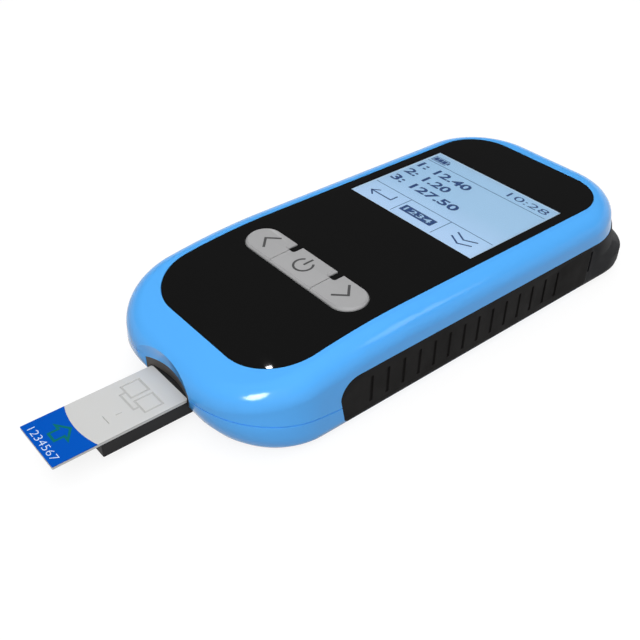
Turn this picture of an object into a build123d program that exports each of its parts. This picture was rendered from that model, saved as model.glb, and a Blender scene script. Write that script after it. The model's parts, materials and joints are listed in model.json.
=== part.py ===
from build123d import *
import math
import os

# Hand-held coagulation analyzer with a sliding card tray. Millimetres, +Z up, nose towards -Y.
# X is 0 on the middle plane, Z is 0 on the surface the feet stand on, Y is 0 at half the whole length.

# Case
case_length = 179.0
foot_proud = 0.7
wall = 2.5
nose_corner = 27.0
foot_corner = 20.0
tail_corner = 25.0
tail_top_corner = 27.5
tail_lean = 3.2
top_round = 7.0
bottom_round = 4.0
nose_round = 14.0
brow_start = 63.0
brow_radius = 231.0
seam_nose_depth = 15.0
seam_side_depth = 19.5
seam_level_at = 33.0
seam_groove = 0.4
inner_bevel = 2.4
front_steps = 3
side_steps = 4

# Side grips and the bumper at the tail
skin = 1.3
grip_line = 10.2
grip_start = 33.7
grip_tail = 33.0
grip_nose_round = 6.5
grip_foot = 2.0
grip_foot_bevel = 1.6
grip_reach_under = 4.0
rib_pitch = 6.4
rib_width = 1.2
rib_depth = 0.5
rib_start = 45.3
rib_top = 13.4
rib_length = 9.5
bumper_gap = 0.1
bumper_bulge = 4.1
bumper_corner = 20.0
bumper_lip = 0.4
bumper_band = 6.0
bulge_slope = 4.6
end_groove_width = 1.0
end_groove_depth = 0.6
end_groove_length = 8.2
end_groove_top = 12.4

# Front panel, gasket and the deck that carries them
panel_side = 7.5
panel_border = 3.55
panel_front = 12.9
panel_back = 11.4
panel_front_corner = 17.4
panel_back_corner = 15.5
panel_thick = 0.8
panel_gap = 0.2
gasket_thick = 0.3
gasket_width = 1.8
deck_thick = 1.8

# Display
display_width = 56.9
display_length = 45.0
display_tail = 38.4
glass_margin = 1.5
glass_thick = 1.8
backlight_thick = 2.6
frame_wall = 1.2
frame_clearance = 0.15

# Keys
key_row_inset = 2.2
key_row_width = 12.4
key_row_centre = 52.3
key_split = 9.8
key_gap = 0.3
key_proud = 0.8
key_travel = 0.5
key_bevel = 0.6
key_flange = 0.9
key_flange_thick = 0.9
key_lift = 0.1
key_stem = 4.0
notch_width = 3.0
notch_depth = 3.9
notch_round = 0.4
switch_size = 5.2
switch_height = 0.5
switch_bevel = 0.15
mat_thick = 0.5
mat_margin = 1.5

# Card, tray and mouth
card_reach = 39.5
card_width = 19.3
card_hold = 2.2
card_thick = 1.0
card_corner = 0.8
label_thick = 0.2
label_length = 11.5
label_bow = 28.0
channel_width = 0.6
channel_depth = 0.25
well_size = 6.4
well_depth_in = 9.3
channel_step = 1.6
vent_length = 3.6
vent_side = 2.6
vent_depth_in = 22.2
vent_step = 4.0
tray_overhang = 14.2
tray_thick = 4.6
tray_tail = 24.2
tray_shell = 1.2
tray_bays = 4
tray_slack = 0.3
tray_corner = 0.4
ear_length = 5.0
ear_depth = 0.9
ear_height = 1.4
mouth_side = 1.9
mouth_jamb = 2.7
mouth_rise = 4.2
mouth_under = 0.9
mouth_corner = 1.5
scoop_radius = 34.0
scoop_depth = 3.3
bezel_set_back = 0.1
bezel_depth = 7.0
bezel_flange = 1.6
bezel_flange_thick = 1.2

# Card reader
guide_wall = 1.6
guide_floor = 1.2
switch_reach = 0.7
reader_depth = 29.7
heater_length = 17.0
heater_thick = 2.4
heater_gap = 0.4
lens_radius = 1.6
lens_pitch = 7.6
lens_clearance = 0.1
sensor_board_thick = 1.2
optics_height = 2.6
optics_length = 10.0
optics_side = 3.2
optics_bevel = 0.6
lens_set_back = -0.8

# Main board, posts and screws
board_depth = 8.0
board_thick = 1.6
board_side = 6.5
board_clearance = 1.5
board_ahead = 41.0
board_tail = 11.0
board_front_corner = 10.0
board_back_corner = 15.5
post_radius = 3.2
post_ahead = 32.0
post_tail = 17.0
post_inset = 14.5
screw_radius = 1.25
screw_clearance = 0.15
screw_head_radius = 2.4
screw_head_height = 1.6
screw_engage = 3.0
screw_slot_width = 0.5
screw_slot_length = 3.2
chip_height = 1.2
chip_bevel = 0.2
processor_side = 10.0
memory_side = 7.0
driver_side = 5.0
chip_spacing = 13.0

# Battery bay
cell_radius = 7.1
cell_length = 50.0
cell_apart = 0.6
cell_count = 4
cell_gap = 0.2
nub_radius = 2.7
nub_length = 1.0
bay_wall = 1.2
bay_tail = 30.3
contact_thick = 0.5
contact_size = 9.2
contact_room = 2.6
door_thick = 1.6
door_gap = 0.2
door_rim = 2.2
door_travel = 5.0
door_corner = 3.0
tongue_width = 5.0
tongue_reach = 3.5
tongue_thick = 0.8
tongue_gap = 0.2
thumb_rib = 0.4
thumb_rib_count = 6
thumb_rib_start = 6.0

# Feet, socket, window and small parts
foot_radius = 4.0
foot_sink = 0.8
foot_front = 42.0
foot_tail = 18.0
foot_inset = 17.5
foot_inset_back = 26.5
socket_width = 7.7
socket_height = 3.9
socket_length = 9.0
socket_wall = 0.4
socket_tongue = 0.8
plug_room_width = 13.0
plug_room_height = 8.0
plug_room_corner = 1.5
socket_rise = 6.0
tail_board_thick = 1.2
tail_board_length = 12.0
tail_board_side = 21.0
tail_board_set = 1.4
window_inset = 21.5
window_length = 10.0
window_width = 5.0
buzzer_radius = 6.0
buzzer_height = 2.4

# Places that follow from the sizes above
case_width = display_width + 2 * (panel_border + panel_side)
key_row_length = display_width - 2 * key_row_inset
card_length = card_reach + card_hold
tray_length = card_reach - tray_overhang + tray_tail
tail_board_width = case_width - 2 * tail_board_side
cell_pitch = 2 * cell_radius + cell_apart
bay_depth = door_thick + 2 * cell_gap + 2 * cell_radius + bay_wall
case_height = bay_depth + board_clearance + board_thick + board_depth
y_nose = (card_reach - case_length) / 2
y_tail = y_nose + case_length
y_shell = y_tail - bumper_bulge
y_brow = y_nose + brow_start
z_base = foot_proud
z_top = foot_proud + case_height
z_floor = z_base + wall
z_wall = z_base + nose_round
half_width = case_width / 2
past = 6.0

y_card_out = y_nose - card_reach
y_card_in = y_card_out + card_length
y_tray_out = y_card_out + tray_overhang
y_tray_in = y_tray_out + tray_length
y_reader_1 = y_nose + reader_depth
y_reader_0 = y_reader_1 - heater_length
tray_stroke = y_reader_1 - y_card_in
z_guide = z_floor + guide_floor
z_tray = z_guide + tray_slack
z_tray_top = z_tray + tray_thick
z_card = z_tray_top + card_thick
z_ear = (z_tray + z_tray_top) / 2

y_keys = y_nose + key_row_centre
y_display = y_tail - display_tail - display_length / 2
y_grip_end = y_tail - grip_tail
deck_top = panel_thick + gasket_thick
deck_low = deck_top + deck_thick

z_board = z_top - board_depth
z_board_low = z_board - board_thick
board_half = half_width - board_side
y_board_0 = y_brow - board_ahead
y_board_1 = y_tail - board_tail
post_spots = [Pos(x, y) for x in (post_inset - half_width, half_width - post_inset)
              for y in (y_brow - post_ahead, y_tail - post_tail)]

bay_half = cell_count * cell_pitch / 2
bay_length = cell_length + nub_length + 2 * contact_room
y_bay_1 = y_tail - bay_tail
y_bay_0 = y_bay_1 - bay_length
z_door = z_base + door_thick
z_cell = z_door + cell_gap + cell_radius
z_bay_roof = z_cell + cell_radius + cell_gap

guide_half = card_width / 2 + tray_slack
y_guide_0 = y_nose + bezel_depth
y_guide_1 = y_tray_in + tray_stroke + tray_slack + guide_wall
z_heater = z_card + heater_gap
z_sensor = z_heater + heater_thick
z_sensor_top = z_sensor + sensor_board_thick
z_socket = z_floor + socket_rise
z_tail_board = z_socket - socket_height / 2 - tail_board_thick
y_tail_board = y_shell - wall - tail_board_length - tail_board_set

nodes = {}


def slab(width, y0, y1, z0, z1, x=0.0):
    """A block given by its width, its two Y ends and its two Z ends."""
    return Pos(x, (y0 + y1) / 2, (z0 + z1) / 2) * Box(width, y1 - y0, z1 - z0)


def outline(half, y0, y1, front_corner, back_corner):
    """A plan outline: a rectangle with one corner radius at the nose and one at the tail."""
    shape = Pos(0, (y0 + y1) / 2) * Rectangle(2 * half, y1 - y0)
    shape = fillet(shape.vertices().group_by(Axis.Y)[0], front_corner)
    return fillet(shape.vertices().group_by(Axis.Y)[-1], back_corner)


def prism(shape, z0, z1):
    """A plan sketch raised from z0 to z1."""
    return Pos(0, 0, z0) * extrude(shape, z1 - z0)


def brow_fall(y):
    """How far the top face has fallen at y."""
    return brow_radius - math.sqrt(brow_radius ** 2 - max(0.0, y_brow - y) ** 2)


def side_prism(points):
    """A side profile, given as (y, z) points, run across the whole width."""
    face = make_face(Plane.YZ * Polyline(*points, close=True))
    return extrude(face, case_width, both=True)


def under_top(drop):
    """All that lies lower than the top face, level at the back and falling along an arc before the brow."""
    y0, y1 = y_nose - past, y_tail + past
    level = z_top - drop
    mid = (y_brow + y0) / 2
    front = level - brow_fall(y0)
    low = z_base - past
    arc = ThreePointArc((y_brow, level), (mid, level - brow_fall(mid)), (y0, front))
    rest = Polyline((y0, front), (y0, low), (y1, low), (y1, level), (y_brow, level))
    face = make_face(Plane.YZ * (arc + rest))
    return extrude(face, case_width, both=True)


def rounded_foot(half, y0, y1, corners, front_round, side_round, z_low):
    """The foot of a moulding: its outline drawn in along quarter rounds, a larger one at the front."""
    front_corner, low_corner, back_corner = corners

    def section(depth):
        front = front_round - math.sqrt(max(0.0, front_round ** 2 - depth ** 2))
        over = max(0.0, depth - (front_round - side_round))
        side = side_round - math.sqrt(max(0.0, side_round ** 2 - over ** 2))
        corner = front_corner + (low_corner - front_corner) * depth / front_round - side
        shape = outline(half - side, y0 + front, y1 - side, corner, back_corner - side)
        return (Pos(0, 0, z_low + front_round - depth) * shape).face()

    straight = front_round - side_round
    turn = math.asin(straight / front_round)
    first = [section(front_round * math.sin(turn * k / front_steps)) for k in range(front_steps + 1)]
    quarter = math.pi / 2 / side_steps
    second = [section(straight + side_round * math.sin(quarter * k)) for k in range(side_steps + 1)]
    return loft(first, ruled=True) + loft(second, ruled=True)


def case_plan(z, inset=0.0, lip=0.0):
    """Plan of the case at a height over its foot: the tail leans forward on the way up, less a lip."""
    rise = (z - z_wall) / (z_top - z_wall)
    corner = tail_corner + (tail_top_corner - tail_corner) * rise
    shape = outline(half_width - inset, y_nose + inset, y_shell - inset - tail_lean * rise + lip,
                    nose_corner - inset, corner - inset)
    return (Pos(0, 0, z) * shape).face()


def case_form(inset=0.0, drop=None, rim=None):
    """The outer form of the case, or the same form further in. Its rim is rounded, bevelled or sharp."""
    half = half_width - inset
    y0, y1 = y_nose + inset, y_shell - inset
    upper = loft([case_plan(z_wall, inset), case_plan(z_top, inset)], ruled=True)
    upper &= under_top(inset if drop is None else drop)

    def on_rim(edge):
        centre = edge.center()
        inner = abs(centre.X) < 1 and y0 + 1 < centre.Y < y1 - tail_lean - 1
        return centre.Z > z_wall + 1 and abs(edge.tangent_at(0.5).Z) < 0.5 and not inner

    edges = [edge for edge in upper.edges() if on_rim(edge)]
    if rim == "round":
        upper = fillet(edges, top_round)
    if rim == "bevel":
        upper = chamfer(edges, inner_bevel)
    corners = (nose_corner - inset, foot_corner - inset, tail_corner - inset)
    lower = rounded_foot(half, y0, y1, corners, nose_round - inset, bottom_round - inset, z_base + inset)
    return upper + lower


outer_form = case_form(rim="round")
skin_form = case_form(skin)
inner_form = case_form(wall, deck_low, "bevel")
skin_layer = outer_form - skin_form


def seam_line(rise=0.0):
    """Side profile of all that lies lower than the seam, moved up or down by rise."""
    y0, y1 = y_nose - past, y_tail + past
    z_side = z_top - seam_side_depth + rise
    slope = (seam_side_depth - seam_nose_depth) / seam_level_at
    z_front = z_top - seam_nose_depth + rise + slope * past
    low = z_base - past
    return side_prism([(y0, low), (y0, z_front), (y_nose + seam_level_at, z_side), (y1, z_side), (y1, low)])


def grip_side():
    """Side profile of a grip, run across the whole width."""
    y0, y1 = y_nose + grip_start, y_grip_end
    z1 = z_top - grip_line
    low = z_base + grip_foot
    lean = grip_nose_round / 4
    drawn = grip_nose_round * (1 - math.sin(math.pi / 4))
    turn = (y0 + drawn, z1 - drawn)
    arc = ThreePointArc((y0 + grip_nose_round, z1), turn, (y0, z1 - grip_nose_round))
    foot = Polyline((y0, z1 - grip_nose_round), (y0 + lean, low + grip_foot_bevel),
                    (y0 + lean + grip_foot_bevel, low), (y1, low), (y1, z1), (y0 + grip_nose_round, z1))
    return extrude(make_face(Plane.YZ * (arc + foot)), case_width, both=True)


def beside(side):
    """The space at one side, out from where a grip ends under the case."""
    x = side * (half_width - grip_reach_under + past)
    return slab(2 * past, y_nose - past, y_tail + past, z_base - past, z_top + past, x)


y_bumper = y_grip_end + bumper_gap
bumper_zone = slab(case_width + past, y_bumper, y_tail + past, z_base - past, z_top - grip_line)
bumper_zone -= prism(outline(half_width - grip_reach_under, y_nose, y_shell - grip_reach_under,
                             nose_corner - grip_reach_under, tail_corner - grip_reach_under),
                     z_base - past, z_base + 2 * skin)
grip_zone = grip_side() & (beside(-1) + beside(1))
dressed_zone = grip_zone + bumper_zone
panel_plan = outline(half_width - panel_side, y_nose + panel_front, y_shell - panel_back,
                     panel_front_corner, panel_back_corner)
panel_hole = outline(half_width - panel_side + panel_gap, y_nose + panel_front - panel_gap,
                     y_shell - panel_back + panel_gap, panel_front_corner + panel_gap,
                     panel_back_corner + panel_gap)


def mouth_plan(grow=0.0):
    """Front view of the mouth: a flat floor, upright sides and an arched head, grown by grow all round."""
    half = card_width / 2 + mouth_side + grow
    low = z_tray - mouth_under - grow
    jamb = z_card + mouth_jamb + grow
    head = z_card + mouth_rise + grow
    sides = Polyline((half, jamb), (half, low), (-half, low), (-half, jamb))
    arch = ThreePointArc((-half, jamb), (0, head), (half, jamb))
    face = make_face(sides + arch)
    return fillet(face.vertices().group_by(Axis.Y)[0], mouth_corner)


def along_y(shape, y0, y1):
    """A front view, drawn in X and Z, run from y0 to y1."""
    return extrude(Plane.XZ.offset(-y0) * shape, -(y1 - y0))


y_scoop = y_nose + scoop_depth - scoop_radius
scoop = Pos(0, y_scoop, z_card) * Sphere(scoop_radius)
scoop_back = Pos(0, y_scoop, z_card) * Sphere(scoop_radius + wall)
mouth = along_y(mouth_plan(), y_nose - past, y_nose + nose_round)


def posts(radius, z0, z1):
    """One round post or bore at each of the four case screws."""
    shape = Pos(0, 0, (z0 + z1) / 2) * Cylinder(radius, z1 - z0)
    return Part() + [spot * shape for spot in post_spots]


def key_row(grow):
    """Plan of the pill-shaped key row, grown by grow."""
    return Pos(0, y_keys) * SlotOverall(key_row_length + 2 * grow, key_row_width + 2 * grow)


def notches(shrink):
    """Plan of the two notches in the edge of the key row that faces the display."""
    width = notch_width - 2 * shrink
    y0 = y_keys + key_row_width / 2 - notch_depth + shrink
    y1 = y_keys + key_row_width / 2 + notch_depth
    shape = Pos(0, (y0 + y1) / 2) * Rectangle(width, y1 - y0)
    shape = fillet(shape.vertices().group_by(Axis.Y)[0], notch_round)
    return Pos(-key_split, 0) * shape + Pos(key_split, 0) * shape


def make_shells():
    """Upper and lower case shells, cut from one hollow moulding at the seam."""
    hollow = outer_form - (inner_form - scoop_back)
    hollow -= skin_layer & dressed_zone
    hollow -= scoop
    hollow -= mouth
    seam = seam_line(seam_groove / 2) - seam_line(-seam_groove / 2)
    hollow -= (outer_form - case_form(seam_groove)) & seam
    below = seam_line()

    upper = hollow - below
    deck_middle = deck_low - deck_thick / 2
    upper += posts(post_radius, z_board, z_top - deck_middle) & under_top(deck_middle)
    upper -= prism(panel_hole, z_board, z_top + past) - under_top(deck_top)
    border = glass_margin + frame_wall + frame_clearance
    glass = Pos(0, y_display) * Rectangle(display_width + 2 * border, display_length + 2 * border)
    upper -= prism(glass, z_board, z_top + past)
    upper -= prism(key_row(key_flange + key_gap), z_board, z_top + past)
    upper -= posts(screw_radius, z_board - past, z_board + screw_engage)
    upper -= rear_ports(y_shell - 2 * wall, y_tail)

    lower = hollow & below
    lower += posts(post_radius, z_floor - wall / 2, z_board_low)
    rest = slab(tail_board_width - 2 * wall, y_tail_board, y_tail_board + tail_board_length / 2,
                z_floor - wall / 2, z_tail_board)
    lower += rest
    lower -= posts(screw_radius + screw_clearance, z_base - past, z_board + past)
    lower -= posts(screw_head_radius + screw_clearance, z_base - past, z_base + screw_head_height)
    lower -= door_plan_solid(door_gap, z_base - past, z_door, door_travel)
    lower -= slab(2 * bay_half, y_bay_0, y_bay_1, z_base, z_floor + past)
    for spot in foot_spots():
        lower -= spot * Pos(0, 0, z_base) * Cylinder(foot_radius, 2 * foot_sink)
    lower -= rear_ports(y_shell - 2 * wall, y_tail)
    return upper, lower


def foot_spots():
    """Where the four rubber feet sit, closer together behind the battery door."""
    front = [Pos(side * (half_width - foot_inset), y_nose + foot_front) for side in (-1, 1)]
    back = [Pos(side * (half_width - foot_inset_back), y_tail - foot_tail) for side in (-1, 1)]
    return front + back


def door_plan_solid(grow, z0, z1, travel=0.0):
    """The battery door's plate, or with grow and travel the recess it slides in."""
    half = bay_half + door_rim + grow
    y0 = y_bay_0 - door_rim - grow
    y1 = y_bay_1 + door_rim + grow + travel
    return prism(outline(half, y0, y1, door_corner + grow, door_corner + grow), z0, z1)


def rear_ports(y0, y1):
    """The holes for the data socket and the infrared window, from y0 to y1."""
    socket_hole = Pos(0, z_socket) * Rectangle(socket_width + 2 * door_gap, socket_height + 2 * door_gap)
    window_hole = Pos(window_inset - half_width, z_socket) * SlotOverall(window_length, window_width)
    return along_y(socket_hole, y0, y1) + along_y(window_hole, y0, y1)


def make_grips():
    """Two ribbed rubber grips, set into the sides of the case."""
    grooves = Part()
    count = int((y_grip_end - y_nose - rib_start - rib_pitch) / rib_pitch)
    for k in range(count):
        y = y_nose + rib_start + k * rib_pitch
        z1 = z_top - rib_top
        grooves += slab(case_width + past, y - rib_width / 2, y + rib_width / 2, z1 - rib_length, z1)
    core = slab(case_width - 2 * rib_depth, y_nose, y_tail, z_base, z_top)
    for name, side in (("left_grip", -1), ("right_grip", 1)):
        grip = skin_layer & grip_zone & beside(side)
        nodes[name] = grip - (grooves - core)


def make_bumper():
    """The black tail: a thin band under the blue shell that swells into a bulge behind the case."""
    z1 = z_top - grip_line
    z2 = z1 - bumper_band
    z3 = z2 - bulge_slope
    wide = outline(half_width, y_nose, y_tail, nose_corner, bumper_corner)
    narrow = case_plan(z2, lip=bumper_lip)
    band = loft([narrow, case_plan(z1, lip=bumper_lip)], ruled=True)
    flare = loft([(Pos(0, 0, z3) * wide).face(), narrow], ruled=True)
    z_round = z_base + bottom_round
    wall_part = prism(wide, z_round, z3)
    sections = []
    for k in range(side_steps + 1):
        depth = bottom_round * math.sin(math.pi / 2 * k / side_steps)
        draw = bottom_round - math.sqrt(max(0.0, bottom_round ** 2 - depth ** 2))
        shape = outline(half_width - draw, y_nose, y_tail - draw, nose_corner, bumper_corner - draw)
        sections.append((Pos(0, 0, z_round - depth) * shape).face())
    solid = band + flare + wall_part + loft(sections, ruled=True)
    solid = (solid & bumper_zone) - skin_form
    z_groove = z_top - end_groove_top
    groove = slab(case_width + past, y_bumper, y_bumper + end_groove_width,
                  z_groove - end_groove_length, z_groove)
    solid -= groove - slab(case_width - 2 * end_groove_depth, y_nose, y_tail, z_base, z_top)
    room = Pos(0, z_socket) * Rectangle(plug_room_width, plug_room_height)
    room = fillet(room.vertices(), plug_room_corner)
    solid -= along_y(room, y_shell - skin, y_tail + past)
    solid -= rear_ports(y_shell - 2 * wall, y_tail + past)
    nodes["rear_bumper"] = solid


def make_front():
    """Panel, gasket and window, which follow the level top and the falling brow."""
    panel = prism(panel_plan, z_board, z_top + past) & (under_top(0) - under_top(panel_thick))
    window = Pos(0, y_display) * Rectangle(display_width, display_length)
    panel -= prism(window, z_board, z_top + past)
    opening = key_row(key_gap) - notches(key_gap)
    panel -= prism(opening, z_board, z_top + past)
    nodes["front_panel"] = panel
    nodes["display_window"] = prism(window, z_top - panel_thick, z_top)

    inner = outline(half_width - panel_side - gasket_width, y_nose + panel_front + gasket_width,
                    y_shell - panel_back - gasket_width, panel_front_corner - gasket_width,
                    panel_back_corner - gasket_width)
    ring = prism(panel_plan - inner, z_board, z_top + past)
    nodes["panel_gasket"] = ring & (under_top(panel_thick) - under_top(deck_top))


def make_display():
    """Display glass, light plate and the frame that holds both on the main board."""
    width = display_width + 2 * glass_margin
    length = display_length + 2 * glass_margin
    z1 = z_top - panel_thick
    z2 = z1 - glass_thick
    z3 = z2 - backlight_thick
    nodes["lcd_panel"] = slab(width, y_display - length / 2, y_display + length / 2, z2, z1)
    nodes["lcd_backlight"] = slab(width, y_display - length / 2, y_display + length / 2, z3, z2)
    outer = (width + 2 * frame_wall, length + 2 * frame_wall)
    frame = slab(outer[0], y_display - outer[1] / 2, y_display + outer[1] / 2, z_board, z2)
    frame -= slab(width, y_display - length / 2, y_display + length / 2, z3, z_top)
    frame -= slab(width - 4 * frame_wall, y_display - length / 2 + 2 * frame_wall,
                  y_display + length / 2 - 2 * frame_wall, z_board - past, z3)
    nodes["lcd_frame"] = frame


def make_keys():
    """Three keys of one pill-shaped row, each with a flange under the panel and a stem over its switch."""
    top = prism(key_row(0) - notches(0), z_board, z_top + past) & under_top(-key_proud)
    top -= under_top(panel_thick + key_lift)
    rim = [edge for edge in top.edges() if abs(edge.tangent_at(0.5).Z) < 0.5
           and edge.center().Z > z_top - panel_thick / 2]
    top = chamfer(rim, key_bevel)
    flange = prism(key_row(key_flange) - notches(-key_gap), z_board, z_top + past)
    flange &= under_top(panel_thick + key_lift) - under_top(panel_thick + key_lift + key_flange_thick)
    row = top + flange
    z_switch = z_board + switch_height + mat_thick
    stem_low = z_switch + key_travel + key_lift
    reach = key_row_length
    cuts = {"left_key": (-reach, -key_split), "power_key": (-key_split, key_split),
            "right_key": (key_split, reach)}
    for name, (x0, x1) in cuts.items():
        cell = slab(x1 - x0 - key_gap, y_keys - key_row_width, y_keys + key_row_width, z_board, z_top + past,
                    (x0 + x1) / 2)
        x = key_spot(name)
        stem = Pos(x, y_keys) * Rectangle(key_stem, key_stem)
        stem = prism(stem, stem_low, z_top) & under_top(panel_thick + key_lift + key_flange_thick)
        nodes[name] = (row & cell) + stem
    spots = [Pos(key_spot(name), y_keys) for name in cuts]
    switch = Pos(0, 0, z_board + switch_height / 2) * Box(switch_size, switch_size, switch_height)
    nodes["key_switches"] = Part() + [spot * switch for spot in spots]
    length = key_row_length - 2 * mat_margin
    width = key_row_width - 2 * mat_margin
    mat = prism(Pos(0, y_keys) * SlotOverall(length, width), z_board, z_switch)
    nodes["keypad_mat"] = mat - nodes["key_switches"]
    tops = nodes["key_switches"].edges().group_by(Axis.Z)[-1]
    nodes["key_switches"] = chamfer(tops, switch_bevel)


def key_spot(name):
    """X of the middle of a key."""
    outer = (key_split + key_row_length / 2) / 2
    return {"left_key": -outer, "power_key": 0.0, "right_key": outer}[name]


def make_mouth():
    """The dark frame in the mouth, with the slot that the tray and the card pass through."""
    y_flange = y_nose + bezel_depth
    face = along_y(mouth_plan(), y_nose - past, y_flange) & case_form(bezel_set_back)
    face -= Pos(0, y_scoop, z_card) * Sphere(scoop_radius + bezel_set_back)
    collar = along_y(mouth_plan(bezel_flange), y_flange - bezel_flange_thick, y_flange) & inner_form
    bezel = face + (collar - scoop_back)
    z_slot = z_card + heater_gap
    slot = Pos(0, (z_guide + z_slot) / 2) * Rectangle(2 * guide_half, z_slot - z_guide)
    nodes["card_bezel"] = bezel - along_y(slot, y_nose - past, y_nose + nose_round)


def channels():
    """Plan of the card's channels: a square loop and a feed under each lens, a bridge and two vents."""
    y_well = y_card_in - well_depth_in
    loop = Rectangle(well_size, well_size)
    loop -= Rectangle(well_size - 2 * channel_width, well_size - 2 * channel_width)
    feed = Pos(0, -(well_size + channel_step) / 2) * Rectangle(channel_width, channel_step + channel_width)
    lines = Sketch() + [Pos(x, y_well) * (loop + feed) for x in (-lens_pitch / 2, lens_pitch / 2)]
    y_bridge = y_well - well_size / 2 - channel_step
    lines += Pos(0, y_bridge) * Rectangle(lens_pitch + channel_width, channel_width)
    y_vent = y_card_in - vent_depth_in
    lines += Pos(vent_side, y_vent) * Rectangle(vent_length, channel_width / 2)
    lines += Pos(vent_side, y_vent + vent_step) * Rectangle(channel_width / 2, vent_length / 2)
    return lines


def make_card():
    """The test card with its engraved channels, and the film on its outer end."""
    plan = outline(card_width / 2, y_card_out, y_card_in, card_corner / 3, card_corner)
    card = prism(plan, z_tray_top, z_card)
    bow = Pos(0, y_card_out + label_length + label_bow) * Circle(label_bow)
    film = outline(card_width / 2, y_card_out, y_card_out + label_bow, card_corner / 3, card_corner / 3)
    film -= bow
    label = prism(film, z_card - label_thick, z_card)
    card -= label
    nodes["test_card"] = card - prism(channels(), z_card - channel_depth, z_card + past)
    nodes["card_label"] = label


def make_tray():
    """The sliding tray: a cored slab, a step that the card butts against, and an ear at each inner corner."""
    body = slab(card_width, y_tray_out, y_tray_in, z_tray, z_tray_top)
    step = slab(card_width, y_card_in, y_tray_in, z_tray_top, z_card)
    tray = body + step
    ends = [edge for edge in tray.edges().group_by(Axis.Y)[0] if abs(edge.tangent_at(0.5).Z) > 0.5]
    tray = fillet(ends, tray_corner)
    span = (tray_length - tray_shell) / tray_bays
    for k in range(tray_bays):
        y = y_tray_out + tray_shell + k * span
        tray -= slab(card_width - 2 * tray_shell, y, y + span - tray_shell, z_tray - past,
                     z_tray_top - tray_shell)
    ear_half = guide_half + ear_depth - tray_slack
    ears = slab(2 * ear_half, y_tray_in - ear_length, y_tray_in, z_ear - ear_height / 2,
                z_ear + ear_height / 2)
    ears -= slab(card_width - tray_shell, y_tray_out, y_tray_in + past, z_tray, z_card)
    nodes["card_tray"] = tray + ears


def make_reader():
    """The channel the tray runs in, and the warm plate, lenses and boards over it."""
    outer = guide_half + guide_wall
    guide = slab(2 * outer, y_guide_0, y_guide_1, z_floor, z_sensor)
    guide -= slab(2 * guide_half, y_guide_0 - past, y_guide_1 - guide_wall, z_guide, z_sensor + past)
    play = (ear_height + tray_slack) / 2
    guide -= slab(2 * (guide_half + ear_depth), y_tray_in - ear_length - tray_slack, y_guide_1 - guide_wall,
                  z_ear - play, z_ear + play)
    guide -= slab(2 * outer + past, y_reader_1 + guide_wall, y_guide_1 + past, z_card + tray_slack,
                  z_sensor + past)
    nodes["tray_guide"] = guide & inner_form

    y_lens = (y_reader_0 + y_reader_1) / 2 + lens_set_back
    holes = Part()
    barrels = Part()
    tall = z_sensor_top - z_heater - heater_gap
    for x in (-lens_pitch / 2, lens_pitch / 2):
        holes += Pos(x, y_lens, z_sensor) * Cylinder(lens_radius + lens_clearance, z_sensor_top)
        barrels += Pos(x, y_lens, z_sensor_top - tall / 2) * Cylinder(lens_radius, tall)
    heater = slab(2 * guide_half - 2 * tray_slack, y_reader_0, y_reader_1, z_heater, z_sensor)
    nodes["heater_block"] = heater - holes
    board = slab(2 * outer, y_reader_0 - guide_wall, y_reader_1 + guide_wall, z_sensor, z_sensor_top)
    nodes["sensor_board"] = board - holes
    head = slab(lens_pitch + 2 * optics_side, y_lens - optics_length / 2, y_lens + optics_length / 2,
                z_sensor_top, z_sensor_top + optics_height)
    head = chamfer(head.edges().group_by(Axis.Z)[-1], optics_bevel)
    nodes["optics_head"] = head + barrels

    z_switch = z_card + tray_slack
    nodes["tray_switch"] = slab(guide_half, y_guide_1 - guide_wall - switch_reach, y_guide_1,
                                z_switch, z_switch + 2 * guide_wall)


def make_board():
    """Main board with its chips and buzzer, clamped between the posts of the two shells."""
    plan = outline(board_half, y_board_0, y_board_1, board_front_corner, board_back_corner)
    board = prism(plan, z_board_low, z_board)
    nodes["main_board"] = board - posts(screw_radius + screw_clearance, z_board_low - past, z_board + past)
    chips = Part()
    y_chips = (y_keys + key_row_width / 2 + y_display - display_length / 2) / 2
    for k, size in enumerate((processor_side, driver_side, memory_side)):
        chip = slab(size, y_chips - size / 2, y_chips + size / 2, z_board, z_board + chip_height,
                    (k - 1) * chip_spacing)
        chips += chamfer(chip.edges().group_by(Axis.Z)[-1], chip_bevel)
    nodes["board_chips"] = chips
    y_buzzer = y_bay_0 - bay_wall - 2 * buzzer_radius
    buzzer = Pos(board_half - 2 * buzzer_radius, y_buzzer, z_board_low - buzzer_height / 2)
    nodes["buzzer"] = buzzer * Cylinder(buzzer_radius, buzzer_height)

    board_2 = slab(tail_board_width, y_tail_board, y_tail_board + tail_board_length, z_tail_board,
                   z_tail_board + tail_board_thick)
    nodes["tail_board"] = board_2
    y_mouth = y_shell - skin
    shell = Pos(0, z_socket) * Rectangle(socket_width, socket_height)
    hollow = Pos(0, z_socket) * Rectangle(socket_width - 2 * socket_wall, socket_height - 2 * socket_wall)
    tongue = Pos(0, z_socket) * Rectangle(socket_width - 4 * socket_wall, socket_tongue)
    socket = along_y(shell, y_mouth - socket_length, y_mouth)
    socket -= along_y(hollow, y_mouth - socket_length + socket_wall, y_mouth + past)
    socket += along_y(tongue, y_mouth - socket_length, y_mouth - socket_wall)
    nodes["data_socket"] = socket
    pane = Pos(window_inset - half_width, z_socket) * SlotOverall(window_length, window_width)
    nodes["infrared_window"] = along_y(pane, y_shell - wall, y_tail - skin)


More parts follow.
